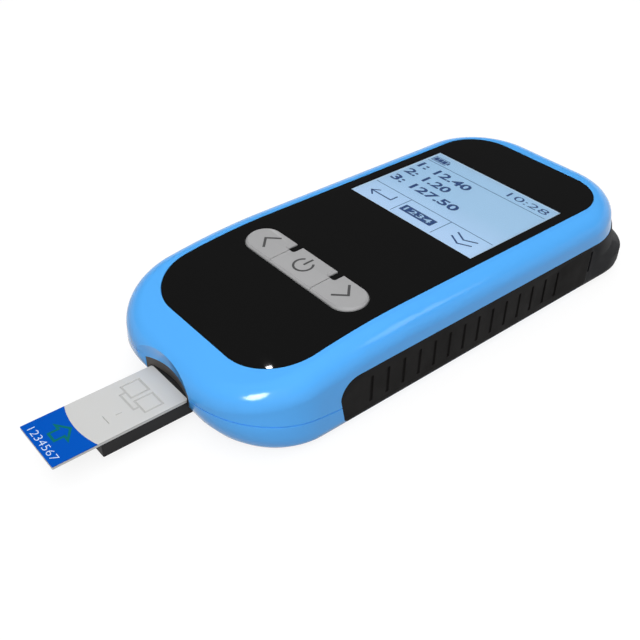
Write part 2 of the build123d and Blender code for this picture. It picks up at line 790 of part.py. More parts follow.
def make_battery():
    """Bay, cells, contacts and the sliding door with its two tongues."""
    outer = bay_half + bay_wall
    bay = slab(2 * outer, y_bay_0 - bay_wall, y_bay_1 + bay_wall, z_floor, z_bay_roof + bay_wall)
    bay -= slab(2 * bay_half, y_bay_0, y_bay_1, z_floor - past, z_bay_roof)
    tongue_room = 2 * tongue_gap + tongue_thick
    for side in (-1, 1):
        x = side * cell_pitch
        bay -= slab(tongue_width + 2 * tongue_gap, y_bay_0 - past, y_bay_0 + past, z_floor - past,
                    z_floor + tongue_room, x)
    nodes["battery_bay"] = bay

    cells = Part()
    y0 = y_bay_0 + contact_room
    for k in range(cell_count):
        x = (k - (cell_count - 1) / 2) * cell_pitch
        can = Pos(x, 0, z_cell) * Rot(90, 0, 0) * Cylinder(cell_radius, cell_length)
        nub = Pos(x, 0, z_cell) * Rot(90, 0, 0) * Cylinder(nub_radius, cell_length + 2 * nub_length)
        flip = 1 if k % 2 == 0 else -1
        half = slab(case_width, 0, cell_length, z_base, z_top)
        cell = can + (nub & (half if flip > 0 else Rot(0, 0, 180) * half))
        y_mid = y0 + cell_length / 2 + (0 if flip > 0 else nub_length)
        cells += Pos(0, y_mid, 0) * cell
    nodes["battery_cells"] = cells

    plates = Part()
    for k in range(cell_count):
        x = (k - (cell_count - 1) / 2) * cell_pitch
        for y_wall, way in ((y_bay_0, 1), (y_bay_1, -1)):
            y_plate = y_wall + way * contact_thick / 2
            plates += Pos(x, y_plate, z_cell) * Box(contact_size, contact_thick, contact_size)
            leaf = Polyline((y_wall, z_cell + nub_radius), (y_wall + way * contact_room, z_cell),
                            (y_wall, z_cell - nub_radius), close=True)
            plates += Pos(x, 0, 0) * extrude(make_face(Plane.YZ * leaf), nub_radius, both=True)
    nodes["battery_contacts"] = plates

    door = door_plan_solid(0, z_base, z_door)
    for side in (-1, 1):
        x = side * cell_pitch
        neck_0 = y_bay_0 + door_gap
        neck = slab(tongue_width, neck_0, neck_0 + tongue_thick, z_door - thumb_rib,
                    z_floor + tongue_gap + tongue_thick, x)
        tongue = slab(tongue_width, neck_0 - tongue_reach, neck_0 + tongue_thick, z_floor + tongue_gap,
                      z_floor + tongue_gap + tongue_thick, x)
        door += neck + tongue
    ribs = Part()
    for k in range(thumb_rib_count):
        y = y_bay_0 - door_rim + thumb_rib_start + k * door_rim
        ribs += slab(bay_half, y - thumb_rib, y + thumb_rib, z_base - thumb_rib, z_base + thumb_rib)
    nodes["battery_door"] = door - ribs


def make_fasteners():
    """Case screws and rubber feet."""
    z_tip = z_board + screw_engage - screw_clearance
    shank = posts(screw_radius, z_base + screw_head_height / 2, z_tip)
    head = posts(screw_head_radius, z_base + screw_clearance, z_base + screw_head_height)
    slot = Box(screw_slot_length, screw_slot_width, screw_head_height)
    cross = Pos(0, 0, z_base) * (slot + Rot(0, 0, 90) * slot)
    nodes["case_screws"] = shank + head - [spot * cross for spot in post_spots]
    feet = Part()
    height = foot_proud + foot_sink
    for spot in foot_spots():
        feet += spot * Pos(0, 0, height / 2) * Cylinder(foot_radius, height)
    nodes["rubber_feet"] = feet


nodes["upper_shell"], nodes["lower_shell"] = make_shells()
make_grips()
make_bumper()
make_front()
make_display()
make_keys()
make_mouth()
make_card()
make_tray()
make_reader()
make_board()
make_battery()
make_fasteners()

os.makedirs("parts", exist_ok=True)
for name, shape in nodes.items():
    export_step(shape, f"parts/{name}.step")
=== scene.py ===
import json
import math

import bmesh
import bpy
from mathutils import Matrix, Vector
from mathutils.bvhtree import BVHTree


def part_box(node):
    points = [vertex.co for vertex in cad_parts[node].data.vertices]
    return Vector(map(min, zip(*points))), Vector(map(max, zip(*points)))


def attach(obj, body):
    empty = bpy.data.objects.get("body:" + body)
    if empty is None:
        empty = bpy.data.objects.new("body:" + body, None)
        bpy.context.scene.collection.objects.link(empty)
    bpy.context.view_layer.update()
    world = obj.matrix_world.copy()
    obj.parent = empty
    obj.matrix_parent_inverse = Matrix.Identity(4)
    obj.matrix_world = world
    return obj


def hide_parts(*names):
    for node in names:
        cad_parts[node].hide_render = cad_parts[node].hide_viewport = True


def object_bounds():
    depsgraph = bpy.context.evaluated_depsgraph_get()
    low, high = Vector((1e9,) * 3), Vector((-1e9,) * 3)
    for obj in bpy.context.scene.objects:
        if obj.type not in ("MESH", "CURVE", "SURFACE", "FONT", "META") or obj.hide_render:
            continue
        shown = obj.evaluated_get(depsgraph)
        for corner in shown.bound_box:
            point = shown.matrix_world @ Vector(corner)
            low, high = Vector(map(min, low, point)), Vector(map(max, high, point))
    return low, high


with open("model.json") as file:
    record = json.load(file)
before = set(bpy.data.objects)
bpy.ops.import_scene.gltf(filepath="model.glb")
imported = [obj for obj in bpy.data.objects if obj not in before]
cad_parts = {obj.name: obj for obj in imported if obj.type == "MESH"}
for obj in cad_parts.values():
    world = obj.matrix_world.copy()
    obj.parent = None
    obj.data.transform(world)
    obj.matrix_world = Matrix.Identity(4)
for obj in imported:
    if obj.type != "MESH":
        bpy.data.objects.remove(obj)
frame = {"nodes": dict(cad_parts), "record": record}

# Finish of a hand-held analyzer. Metres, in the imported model's frame: nose towards -Y, feet on Z = 0.
MM = 0.001
cad_low, cad_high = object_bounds()
nodes = frame["nodes"]
body_of = {node: body for body, names in frame["record"]["behaviour"]["bodies"].items() for node in names}
slot_of = {part["node"]: part["material_slot"] for part in frame["record"]["subparts"]}

# Camera: where it stands, how it is turned, and its lens and sensor in millimetres
EYE = Vector((176.94, -160.40, 182.61)) * MM
CAMERA_TURN = math.radians(49.814)
CAMERA_RISE = math.radians(37.362)
CAMERA_ROLL = math.radians(0.938)
FOCAL_LENGTH = 50.415
SENSOR_WIDTH = 36.0

# Soft edges, by node, in millimetres
EDGE = {"upper_shell": 0.18, "lower_shell": 0.18, "rear_bumper": 0.3, "left_grip": 0.22, "right_grip": 0.22,
        "front_panel": 0.28, "card_bezel": 0.15, "card_tray": 0.15, "test_card": 0.07, "card_label": 0.03,
        "left_key": 0.25, "power_key": 0.25, "right_key": 0.25, "battery_door": 0.2, "rubber_feet": 0.25,
        "case_screws": 0.1, "data_socket": 0.06, "infrared_window": 0.1}
WINDOW_EDGE = 0.08
# The clear window's underside stays this far off the display
WINDOW_GAP = 0.05
# Points nearer than this are one, faces that turn less are one flat face, edges that turn more are rounded
WELD = 0.002
FLAT_WITHIN = math.radians(0.4)
SHARP_PAST = math.radians(32)
FLAT_FACE_WEIGHT = 60

# Variation that moulded and brushed finishes share, its noise in features to a metre
CLOUDS = 45.0
SMEARS = 160.0
GRAIN_STRENGTH = 0.35
# Roughness where both noises add up to little and to much, as shares of the finish's own
GLOSSIEST, DULLEST = 0.82, 1.22
LITTLE_NOISE, MUCH_NOISE = 0.6, 1.4
# Rubbed edges: the pointiness at which they start and are full, how patchy they are, and their colour
RUB_STARTS, RUB_FULL = 0.53, 0.62
RUB_PATCHES = 0.4
RUB_GREY, RUB_TINT = 0.05, 1.6

# Colours of the finishes that have a function of their own, and the display's cells in millimetres
BLUE = (0.090, 0.413, 0.93)
# Painted shade: black on the blue behind the gap between each grip and the rear end
GAP_SHADE_BLACK = (0.009, 0.0085, 0.0085)
CARD_WHITE = (0.60, 0.60, 0.59)
CHANNEL_SHADE = 0.8
LCD_CLOUDS = ((0.325, 0.53, 0.75), (0.35, 0.555, 0.77))
LCD_NEAR_KEYS = (0.45, 0.63, 0.88)
LCD_BORDER = (0.50, 0.68, 0.86)
LCD_MESH = (0.27, 0.43, 0.66)
LCD_CELL = 0.42
LCD_GLOW = 0.12
BOARD_GREEN = (0.01, 0.11, 0.04)
TRACK_GREEN = (0.03, 0.22, 0.08)

# Moulded finishes: colour, roughness, and what differs from a common moulding
MOULDED = {
    "panel_black": ((0.0062, 0.0062, 0.0062), 0.035,
                    dict(grain=900.0, depth=0.0003, drift=0.06, specular=0.4)),
    "foam_black": ((0.02, 0.02, 0.02), 0.9, dict(grain=6000.0, depth=0.08)),
    "diffuser_white": ((0.82, 0.83, 0.8), 0.6, {}),
    "frame_black": ((0.02, 0.02, 0.022), 0.5, {}),
    "silicone_grey": ((0.36, 0.36, 0.37), 0.7, {}),
    "chip_black": ((0.015, 0.015, 0.016), 0.55, dict(grain=5000.0, depth=0.02)),
    "infrared_red": ((0.06, 0.003, 0.006), 0.1, dict(depth=0.002, specular=0.2)),
    "bezel_dark": ((0.054, 0.047, 0.041), 0.42, dict(grain=3200.0, depth=0.02, rub=0.2, specular=0.3)),
    "grip_rubber": ((0.0090, 0.0084, 0.0082), 0.62,
                    dict(grain=5200.0, depth=0.05, drift=0.12, rub=0.1, specular=0.05)),
    "bumper_black": ((0.0062, 0.0065, 0.0078), 0.5,
                     dict(grain=4200.0, depth=0.02, drift=0.1, rub=0.1, specular=0.06)),
    "cell_jacket": ((0.26, 0.27, 0.30), 0.35, dict(depth=0.004)),
    "foot_rubber": ((0.018, 0.018, 0.019), 0.8, dict(grain=4500.0, depth=0.06)),
    "tray_dark": ((0.018, 0.0175, 0.0182), 0.5,
                  dict(grain=4200.0, depth=0.03, drift=0.1, rub=0.1, specular=0.12)),
    "label_blue": ((0.001, 0.086, 0.48), 0.3, dict(grain=2600.0, depth=0.004, drift=0.04, specular=0.06)),
    "display_ink": ((0.03, 0.07, 0.20), 0.5, dict(drift=0.1, specular=0.2)),
    "display_pale": ((0.42, 0.62, 0.83), 0.5, dict(drift=0.03)),
    "key_print": ((0.075, 0.075, 0.076), 0.5, dict(drift=0.08, specular=0.2)),
    "arrow_print": ((0.002, 0.15, 0.145), 0.4, dict(drift=0.05, specular=0.15)),
    "count_print": ((0.62, 0.74, 0.92), 0.4, dict(drift=0.03, specular=0.2)),
}

# Brushed finishes: colour, roughness, and how metallic they are
BRUSHED = {
    "spring_steel": ((0.6, 0.59, 0.56), 0.3, 1.0),
    "socket_steel": ((0.62, 0.62, 0.63), 0.28, 1.0),
    "heater_alloy": ((0.7, 0.7, 0.72), 0.35, 1.0),
    "screw_steel": ((0.5, 0.5, 0.52), 0.32, 1.0),
    "key_silver": ((0.385, 0.385, 0.39), 0.46, 0.06),
    "gold_plate": ((0.83, 0.6, 0.24), 0.25, 1.0),
}

# Printed marks, in millimetres: how far they stand off what carries them, and the longest edge in them
INK_LIFT = 0.012
SECOND_INK_LIFT = 0.024
FILM_INK_LIFT = 0.01
DISPLAY_STEP = 6.0
KEY_STEP = 0.8
FILM_STEP = 2.0
PRINT_WELD = 0.001
# A mitre gets no longer than at a corner where the cosine of half the turn is this
SHARPEST_MITRE = 0.35

# Display picture: lengths and places along X in millimetres, and places along Y as shares of the window's
# height, all from its lower left corner
RULE_WIDTH = 0.28
RULE_START, RULE_INSET = 0.9, 1.4
TOP_RULE, LOW_RULE = 0.835, 0.262
DIVIDER_FOOT = 0.035
BATTERY_X, BATTERY_Y = 1.4, 0.866
CLOCK_X, CLOCK_Y = 36.9, 0.880
CLOCK_LENGTH, CLOCK_HEIGHT = 17.2, 3.3
ROW_START, ROW_HEIGHT, ROW_WEIGHT = 1.7, 4.2, 0.13
# What each row says, where it stands along Y, and its length
ROWS = (("1: 12.40", 0.685, 24.6), ("2: 1.20", 0.535, 21.0), ("3: 127.50", 0.38, 31.5))
BACK_ARROW_X, BACK_ARROW_Y = 3.6, 0.135
CHEVRONS_X, CHEVRONS_Y = 47.6, 0.125
SOFT_KEY_FOOT, SOFT_KEY_TOP = 0.095, 0.185
SOFT_KEY_TEXT_FOOT, SOFT_KEY_TEXT_HEIGHT = 0.114, 2.4
# Shares of the window's width
DIVIDERS = (0.33, 0.66)
SOFT_KEY_LEFT, SOFT_KEY_RIGHT = 0.352, 0.61
SOFT_KEY_TEXT_LEFT, SOFT_KEY_TEXT_LENGTH = 0.375, 0.21

# Key symbols, in millimetres: the width of their lines and the middle of the right key's arrow
SYMBOL_WIDTH = 0.85
KEY_MIDDLE = Vector((18.2, -17.2))

# Floor and world: how bright they show, and how little light they give
FLOOR_REACH = 3.0
FLOOR_GREY = (0.20, 0.20, 0.20, 1.0)
FLOOR_WHITE = 0.83
WORLD_LIGHT = 0.05
WHITE = (1.0, 1.0, 1.0, 1.0)
# How far a direction rises where the white walls end and where the ceiling is fully dark
WALL_TOP, CEILING_EDGE = 0.2, 0.34

# Lamps that light the object, all aimed at its middle: place, side and power
MIDDLE = Vector((0.0, 0.0, 0.02))
LAMPS = {
    "overhead": ((0.15, -0.1, 1.2), 1.6, 11.5),
    "front_fill": ((0.85, -0.75, 0.85), 1.0, 15.0),
    "back_fill": ((-0.9, 0.7, 0.6), 1.2, 5.0),
}

# Lamps that only mirror in one piece: the piece, the spot that the lamp aims at, the way from there to it and
# how far along that way it stands, its two sides, its power and its shape
GLINTS = {
    "nose_glint": ("upper_shell_form", Vector((0.0316, -0.0591, 0.0216)), Vector((0.324, -0.645, 0.692)), 0.8,
                   (0.28, 0.36), 12.0, "ELLIPSE"),
    "panel_glint": ("front_panel_form", Vector((0.0269, -0.0512, 0.0249)), Vector((-0.616, 0.17, 0.769)), 0.1,
                    (0.003, 0.0013), 0.0011, "RECTANGLE"),
    "edge_glint": ("upper_shell_form", MIDDLE, Vector((0.607, 0.513, 0.587)), 1.0,
                   (0.25, 0.25), 1.0, "RECTANGLE"),
}


# Shader helpers

def main_shader(tree):
    """A material's main shader."""
    return next(node for node in tree.nodes if node.type == "BSDF_PRINCIPLED")


def start_material(name):
    """A new node material, its node tree and its main shader."""
    material = bpy.data.materials.new(name)
    material.use_nodes = True
    return material, material.node_tree, main_shader(material.node_tree)


def feed(tree, socket, value):
    """Sets a socket to a value, or links another node's output to it."""
    if isinstance(value, bpy.types.NodeSocket):
        tree.links.new(value, socket)
    else:
        socket.default_value = value


def add(tree, kind, **inputs):
    """Adds a shader node and sets its named inputs, each to a value or to another node's output."""
    node = tree.nodes.new(kind)
    for name, value in inputs.items():
        feed(tree, node.inputs[name.replace("_", " ")], value)
    return node


def maths(tree, operation, *values):
    """A Math node's result."""
    node = tree.nodes.new("ShaderNodeMath")
    node.operation = operation
    for socket, value in zip(node.inputs, values):
        feed(tree, socket, value)
    return node.outputs[0]


def spread(tree, value, low, high, start=0.0, end=1.0):
    """Maps a value from start..end to low..high and holds it there."""
    node = add(tree, "ShaderNodeMapRange", Value=value)
    for name, number in (("From Min", start), ("From Max", end), ("To Min", low), ("To Max", high)):
        node.inputs[name].default_value = number
    return node.outputs[0]


def mask_within(tree, value, low, high, soft):
    """One where a value is between two limits, and nought outside them."""
    return maths(tree, "MULTIPLY", spread(tree, value, 0.0, 1.0, low - soft, low),
                 spread(tree, value, 1.0, 0.0, high, high + soft))


def blend_colours(tree, factor, first, second):
    """A colour between two colours."""
    node = tree.nodes.new("ShaderNodeMix")
    node.data_type = "RGBA"
    tree.links.new(factor, node.inputs["Factor"])
    for socket, value in ((node.inputs[6], first), (node.inputs[7], second)):
        feed(tree, socket, (*value, 1.0) if isinstance(value, tuple) else value)
    return node.outputs[2]


def own_place(tree):
    """A point's place in the piece's own coordinates."""
    return tree.nodes.new("ShaderNodeTexCoord").outputs["Object"]


def own_axes(tree):
    """X, Y and Z of a point in the piece's own coordinates."""
    return tuple(add(tree, "ShaderNodeSeparateXYZ", Vector=own_place(tree)).outputs)


def noise(tree, per_metre, detail=3.0, stretch=(1.0, 1.0, 1.0)):
    """Noise on the piece's own coordinates, with so many features in a metre."""
    turned = add(tree, "ShaderNodeMapping", Vector=own_place(tree), Scale=stretch).outputs[0]
    return add(tree, "ShaderNodeTexNoise", Vector=turned, Scale=per_metre, Detail=detail).outputs[0]


def seen_directly(tree):
    """One for rays from the camera, in reflections and through clear pieces, and nought for light."""
    rays = tree.nodes.new("ShaderNodeLightPath").outputs
    return maths(tree, "MAXIMUM", maths(tree, "MAXIMUM", rays["Is Camera Ray"], rays["Is Glossy Ray"]),
                 rays["Is Transmission Ray"])


def tint(colour, share):
    """The same colour, lighter or darker."""
    return tuple(min(1.0, part * share) for part in colour)


def recolour(material, mask, colour):
    """Gives a finish another colour where a mask is one."""
    tree = material.node_tree
    base = main_shader(tree).inputs["Base Color"]
    tree.links.new(blend_colours(tree, mask, base.links[0].from_socket, colour), base)


# Finishes

def moulded(name, colour, roughness, grain=2500.0, depth=0.012, drift=0.05, rub=0.0,
            stretch=(1.0, 1.0, 1.0), metallic=0.0, specular=0.5):
    """A solid finish: colour that drifts a little, fine grain, uneven gloss, and edges rubbed lighter."""
    material, tree, shader = start_material(name)
    shader.inputs["Metallic"].default_value = metallic
    shader.inputs["Specular IOR Level"].default_value = specular
    broad = noise(tree, CLOUDS, detail=4.0, stretch=stretch)
    fine = noise(tree, grain, stretch=stretch)
    colours = blend_colours(tree, broad, tint(colour, 1 - drift), tint(colour, 1 + drift))
    if rub:
        edge = tree.nodes.new("ShaderNodeNewGeometry").outputs["Pointiness"]
        patchy = maths(tree, "MULTIPLY", spread(tree, edge, 0.0, rub, RUB_STARTS, RUB_FULL),
                       spread(tree, fine, RUB_PATCHES, 1.0))
        rubbed = tint(tuple(part + RUB_GREY for part in colour), RUB_TINT)
        colours = blend_colours(tree, patchy, colours, rubbed)
    tree.links.new(colours, shader.inputs["Base Color"])
    smears = noise(tree, SMEARS, detail=5.0, stretch=stretch)
    gloss = spread(tree, maths(tree, "ADD", broad, smears), roughness * GLOSSIEST, roughness * DULLEST,
                   LITTLE_NOISE, MUCH_NOISE)
    tree.links.new(gloss, shader.inputs["Roughness"])
    bump = add(tree, "ShaderNodeBump", Height=fine, Strength=GRAIN_STRENGTH, Distance=depth * MM)
    tree.links.new(bump.outputs[0], shader.inputs["Normal"])
    return material


def brushed(name, colour, roughness, metallic):
    """Metal or metallic paint with fine lines along X."""
    return moulded(name, colour, roughness, grain=900.0, depth=0.006, drift=0.03, rub=0.35,
                   stretch=(0.12, 1.0, 1.0), metallic=metallic)


def clear_window():
    """Clear plastic that lets soft light through to what lies under it."""
    material, tree, shader = start_material("window_clear")
    shader.inputs["Base Color"].default_value = (0.97, 0.985, 1.0, 1.0)
    shader.inputs["Transmission Weight"].default_value = 1.0
    shader.inputs["IOR"].default_value = 1.3
    cleanest, haziest = 0.01, 0.05
    smears = noise(tree, per_metre=120.0, detail=5.0)
    tree.links.new(spread(tree, smears, cleanest, haziest), shader.inputs["Roughness"])
    output = next(node for node in tree.nodes if node.type == "OUTPUT_MATERIAL")
    rays = tree.nodes.new("ShaderNodeLightPath").outputs
    passing = maths(tree, "MAXIMUM", rays["Is Shadow Ray"], rays["Is Diffuse Ray"])
    mix = tree.nodes.new("ShaderNodeMixShader")
    clear = tree.nodes.new("ShaderNodeBsdfTransparent")
    for source, target in ((passing, mix.inputs[0]), (shader.outputs[0], mix.inputs[1]),
                           (clear.outputs[0], mix.inputs[2]), (mix.outputs[0], output.inputs[0])):
        tree.links.new(source, target)
    return material


def blue_case():
    """The blue case, with painted shade: black on the blue behind the gap where each grip meets the rear end.
    """
    material = moulded("blue_shell", BLUE, roughness=0.13, grain=1400.0, depth=0.003, drift=0.02,
                       specular=0.2)
    tree = material.node_tree
    grip_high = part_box("left_grip")[1]
    half_strip, soft = 1.5 * MM, 0.1 * MM
    x, y, z = own_axes(tree)
    strip = maths(tree, "MULTIPLY",
                  mask_within(tree, y, grip_high.y - half_strip, grip_high.y + half_strip, soft),
                  mask_within(tree, z, 0.0, grip_high.z, soft))
    at_sides = spread(tree, maths(tree, "ABSOLUTE", x), 0.0, 1.0, -grip_high.x - soft, -grip_high.x)
    # Painted shade: the blue behind the gap between grip and rear end is painted black
    recolour(material, maths(tree, "MULTIPLY", strip, at_sides), GAP_SHADE_BLACK)
    return material


def engraved_card():
    """The card's white plastic, with painted shade in its shallow channels."""
    material = moulded("card_white", CARD_WHITE, roughness=0.42, grain=1800.0, depth=0.005, drift=0.012,
                       specular=0.2)
    tree = material.node_tree
    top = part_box("test_card")[1].z
    # Depths under the top at which the painted shade starts, is full, starts to fade and is gone
    starts, full, fades, gone = 0.02 * MM, 0.09 * MM, 0.3 * MM, 0.4 * MM
    z = own_axes(tree)[2]
    channel_painted_shade = maths(tree, "MULTIPLY", spread(tree, z, 1.0, 0.0, top - full, top - starts),
                 spread(tree, z, 0.0, 1.0, top - gone, top - fades))
    # Painted shade: the channels are darkened where shade would fall in them
    recolour(material, channel_painted_shade, tint(CARD_WHITE, CHANNEL_SHADE))
    return material


def lit_display():
    """The pale display, paler towards the keys and at its border, with a faint mesh and a low glow."""
    material, tree, shader = start_material("lcd_pale")
    low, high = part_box("display_window")
    middle, half = (low + high) / 2, (high - low) / 2
    border_starts, border_full = 0.965, 0.985
    line_starts, mesh_strength = 0.6, 0.06
    axes = own_axes(tree)
    away, cells = [], []
    for axis in (0, 1):
        offset = maths(tree, "SUBTRACT", axes[axis], middle[axis])
        away.append(maths(tree, "DIVIDE", maths(tree, "ABSOLUTE", offset), half[axis]))
        cells.append(maths(tree, "SINE", maths(tree, "MULTIPLY", offset, 2 * math.pi / (LCD_CELL * MM))))
    border = spread(tree, maths(tree, "MAXIMUM", *away), 0.0, 1.0, border_starts, border_full)
    near = spread(tree, axes[1], 1.0, 0.0, low.y, middle.y)
    body = blend_colours(tree, noise(tree, per_metre=25.0, detail=2.0), *LCD_CLOUDS)
    pale = blend_colours(tree, near, body, LCD_NEAR_KEYS)
    edged = blend_colours(tree, border, pale, LCD_BORDER)
    mesh = spread(tree, maths(tree, "MAXIMUM", *cells), 0.0, mesh_strength, line_starts, 1.0)
    colours = blend_colours(tree, mesh, edged, LCD_MESH)
    tree.links.new(colours, shader.inputs["Base Color"])
    tree.links.new(colours, shader.inputs["Emission Color"])
    shader.inputs["Emission Strength"].default_value = LCD_GLOW
    shader.inputs["Roughness"].default_value = 0.5
    return material


def printed_board():
    """Green board with copper tracks that show through the lacquer."""
    material, tree, shader = start_material("board_green")
    per_metre, track, gap = 260.0, 0.1, 0.16
    tracks = add(tree, "ShaderNodeTexVoronoi", Vector=own_place(tree), Scale=per_metre)
    tracks.distance = "CHEBYCHEV"
    line = spread(tree, tracks.outputs["Distance"], 1.0, 0.0, track, gap)
    tree.links.new(blend_colours(tree, line, BOARD_GREEN, TRACK_GREEN), shader.inputs["Base Color"])
    shader.inputs["Roughness"].default_value = 0.35
    bump = add(tree, "ShaderNodeBump", Height=line, Strength=0.3, Distance=0.03 * MM)
    tree.links.new(bump.outputs[0], shader.inputs["Normal"])
    return material


def all_finishes():
    """Every finish by name. A slot's name is also the name of the finish for the nodes in it."""
    made = {"blue_shell": blue_case(), "window_clear": clear_window(), "lcd_pale": lit_display(),
            "board_green": printed_board(), "card_white": engraved_card()}
    for name, (colour, roughness, rest) in MOULDED.items():
        made[name] = moulded(name, colour, roughness, **rest)
    for name, (colour, roughness, metallic) in BRUSHED.items():
        made[name] = brushed(name, colour, roughness, metallic)
    return made


# Mesh helpers

def settle(name, mesh, body, slot, finish, *hidden):
    """Places a finished mesh as a piece that rides on a body, and hides the nodes that it stands for."""
    mesh.materials.clear()
    mesh.materials.append(finishes[finish])
    piece = bpy.data.objects.new(name, mesh)
    bpy.context.scene.collection.objects.link(piece)
    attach(piece, body)
    if hidden:
        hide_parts(*hidden)


def finished_mesh(maker):
    """The plain mesh of an object with its modifiers or its curve worked out. The object goes."""
    bpy.context.scene.collection.objects.link(maker)
    bpy.context.view_layer.update()
    mesh = bpy.data.meshes.new_from_object(maker.evaluated_get(bpy.context.evaluated_depsgraph_get()))
    bpy.data.objects.remove(maker)
    return mesh


def soften(node, width):
    """A welded copy of a node's mesh with whole flat faces, rounded edges and even shading."""
    form = bmesh.new()
    form.from_mesh(nodes[node].data)
    bmesh.ops.remove_doubles(form, verts=form.verts, dist=WELD * MM)
    bmesh.ops.dissolve_limit(form, angle_limit=FLAT_WITHIN, verts=form.verts, edges=form.edges)
    mesh = bpy.data.meshes.new(f"{node}_soft")
    form.to_mesh(mesh)
    form.free()
    mesh.materials.clear()
    maker = bpy.data.objects.new(f"{node}_maker", mesh)
    bevel = maker.modifiers.new("edges", "BEVEL")
    bevel.width = width * MM
    bevel.segments = 2
    bevel.limit_method = "ANGLE"
    bevel.angle_limit = SHARP_PAST
    bevel.use_clamp_overlap = True
    mesh.shade_smooth()
    even = maker.modifiers.new("even", "WEIGHTED_NORMAL")
    even.keep_sharp = True
    even.weight = FLAT_FACE_WEIGHT
    return finished_mesh(maker)


def dress_nodes():
    """Gives each node its finish. Those that show are swapped for softened copies."""
    for node, thing in nodes.items():
        slot = slot_of[node]
        if node in EDGE:
            settle(f"{node}_form", soften(node, EDGE[node]), body_of[node], slot, slot, node)
        else:
            thing.data.materials.clear()
            thing.data.materials.append(finishes[slot])


def window_pane():
    """The clear window, its underside just off the display so that the two faces don't coincide."""
    mesh = soften("display_window", WINDOW_EDGE)
    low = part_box("display_window")[0].z
    for vert in mesh.vertices:
        if vert.co.z < low + WINDOW_GAP * MM:
            vert.co.z += WINDOW_GAP * MM
    slot = slot_of["display_window"]
    settle("display_window_form", mesh, "case", slot, slot, "display_window")


# Printed marks: faces drawn flat in millimetres, then laid on the node that carries them

def ribbon(points, width, closed=False):
    """A flat band of one width along points, as a list of four-cornered faces, with mitred corners."""
    count = len(points)
    left, right = [], []
    for k, point in enumerate(points):
        before = points[(k - 1) % count] if closed or k > 0 else None
        after = points[(k + 1) % count] if closed or k < count - 1 else None
        ways = [(Vector(b) - Vector(a)).normalized() for a, b in ((before, point), (point, after)) if a and b]
        way = sum(ways, Vector((0.0, 0.0))).normalized()
        across = Vector((-way.y, way.x))
        stretch = width / 2 / max(SHARPEST_MITRE, way.dot(ways[0]))
        left.append(Vector(point) + across * stretch)
        right.append(Vector(point) - across * stretch)
    last = count if closed else count - 1
    return [(left[k], left[(k + 1) % count], right[(k + 1) % count], right[k]) for k in range(last)]


def block(x0, y0, x1, y1):
    """One four-cornered face."""
    return (Vector((x0, y0)), Vector((x1, y0)), Vector((x1, y1)), Vector((x0, y1)))


def digits(text, x, y, length, height, weight=0.0):
    """Faces of a line of plain figures that fills a box, its lower left corner at x, y."""
    curve = bpy.data.curves.new("figures", "FONT")
    curve.body = text
    curve.size = height
    curve.offset = weight
    curve.resolution_u = 3
    mesh = finished_mesh(bpy.data.objects.new("figures", curve))
    spots = [vert.co for vert in mesh.vertices]
    left, low = min(spot.x for spot in spots), min(spot.y for spot in spots)
    wide, tall = max(spot.x for spot in spots) - left, max(spot.y for spot in spots) - low
    places = [Vector((x + (spot.x - left) * length / wide, y + (spot.y - low) * height / tall))
              for spot in spots]
    return [tuple(places[v] for v in face.vertices) for face in mesh.polygons]


def moved(faces, corner):
    """The same faces with their origin at a corner."""
    return [tuple(spot + corner for spot in spots) for spots in faces]


def surface_of(node):
    """A node's own surface, to lay prints on."""
    form = bmesh.new()
    form.from_mesh(nodes[node].data)
    tree = BVHTree.FromBMesh(form)
    form.free()
    return tree


def lay_print(name, faces, carrier, finish, lift, step):
    """Thin printed marks on a node: faces cut to short steps and laid on the surface just under them."""
    form = bmesh.new()
    for spots in faces:
        form.faces.new([form.verts.new((*(spot * MM), 0.0)) for spot in spots])
    bmesh.ops.remove_doubles(form, verts=form.verts, dist=PRINT_WELD * MM)
    longest = [edge for edge in form.edges if edge.calc_length() > step * MM]
    while longest:
        bmesh.ops.subdivide_edges(form, edges=longest, cuts=1, use_grid_fill=True)
        longest = [edge for edge in form.edges if edge.calc_length() > step * MM]
    surface = surface_of(carrier)
    above = cad_high.z + 10 * MM
    for vert in form.verts:
        hit = surface.ray_cast(Vector((vert.co.x, vert.co.y, above)), Vector((0, 0, -1)))[0]
        vert.co.z = hit.z + lift * MM
    for face in form.faces:
        if face.normal.z < 0:
            face.normal_flip()
    mesh = bpy.data.meshes.new(name)
    form.to_mesh(mesh)
    form.free()
    settle(name, mesh, body_of[carrier], slot_of[carrier], finish)


def battery_sign(x, y):
    """A battery on its side, its three bars full."""
    length, height, line = 6.6, 3.1, 0.3
    nub_start, nub_end, nub_inset = 0.2, 0.9, 0.8
    bars, pitch, bar, inset = 3, 1.95, 1.75, 0.45
    end, top = x + length, y + height
    faces = ribbon([(x, y), (end, y), (end, top), (x, top)], line, closed=True)
    faces.append(block(end + nub_start, y + nub_inset, end + nub_end, top - nub_inset))
    for k in range(bars):
        start = x + inset + k * pitch
        faces.append(block(start, y + inset, start + bar, top - inset))
    return faces


def back_arrow(x, y):
    """A bent arrow that points left."""
    line = 0.6
    shaft = [(x + 10.6, y + 3.4), (x + 10.6, y), (x + 1.2, y)]
    head = [(x + 3.6, y + 2.1), (x + 1.0, y), (x + 3.6, y - 2.1)]
    return ribbon(shaft, line) + ribbon(head, line)


def chevrons(x, y):
    """Two chevrons that point down."""
    line, half, shoulder, tip = 0.65, 4.4, 3.4, 1.2
    faces = []
    for drop in (0.0, 3.0):
        points = [(x - half, y + shoulder - drop), (x, y + tip - drop), (x + half, y + shoulder - drop)]
        faces += ribbon(points, line)
    return faces


